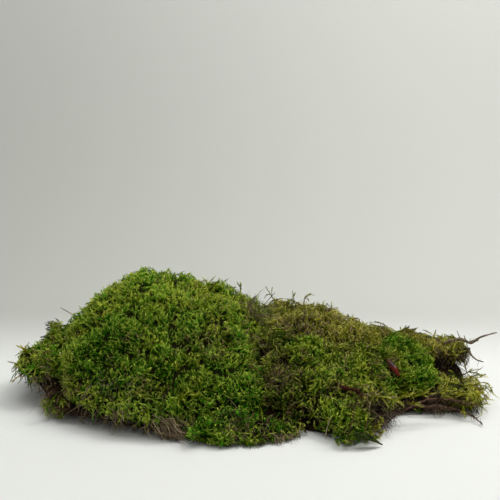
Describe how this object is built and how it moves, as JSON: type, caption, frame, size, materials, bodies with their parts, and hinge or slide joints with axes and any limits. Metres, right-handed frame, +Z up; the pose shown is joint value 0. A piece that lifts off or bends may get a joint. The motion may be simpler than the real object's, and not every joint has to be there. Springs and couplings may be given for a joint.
{
  "type": "moss clump",
  "caption": "Torn-off clump of carpet moss: a tall green dome beside a lower mixed mat on brown thatch, with a forked twig, roots and a red bud scale caught in it.",
  "frame": {"origin": "middle of the flat underside of the thatch that the clump rests on", "axes": "+X along the clump from the tall green dome to the low twig end, +Y from the front to the rear, +Z up"},
  "size_m": [0.2069, 0.1248, 0.049],
  "materials": {
    "thatch": "dull felt of dead brown stems and soil",
    "moss_mound": "dense fresh green moss shoots",
    "moss_left_tuft": "yellow-green moss shoots with pale tips",
    "moss_front_fringe": "green and straw-brown moss shoots",
    "moss_rear_mat": "loose olive moss shoots",
    "moss_front_mat": "mixed green, olive and brown moss shoots",
    "moss_bright_tuft": "fresh bright green moss shoots",
    "moss_end_tuft": "open green and olive moss shoots",
    "moss_rear_flap": "dry olive moss shoots",
    "moss_leaf": "single green moss shoots",
    "bark": "rough dark brown bark",
    "root": "dull red-brown root skin",
    "red": "dark red stem skin",
    "straw": "dry pale straw",
    "bud": "glossy red-brown bud scale",
    "leaf": "satin dark green leaf"
  },
  "bodies": {
    "root": {"thatch": "thatch", "moss_mound": "moss_mound", "moss_left_tuft": "moss_left_tuft", "moss_front_fringe": "moss_front_fringe", "moss_rear_mat": "moss_rear_mat", "moss_front_mat": "moss_front_mat", "moss_bright_tuft": "moss_bright_tuft", "moss_end_tuft": "moss_end_tuft", "moss_rear_flap": "moss_rear_flap", "twig_stem": "bark", "twig_fork": "bark", "root_long": "root", "root_short": "root", "hanging_shoot": "moss_leaf", "stem_hollow_upper": "moss_leaf", "stem_hollow_lower": "root", "red_twig": "red", "straw_left": "straw", "stem_front_bare": "straw", "bud_scale": "bud", "pointed_leaf": "leaf"}
  },
  "joints": []
}
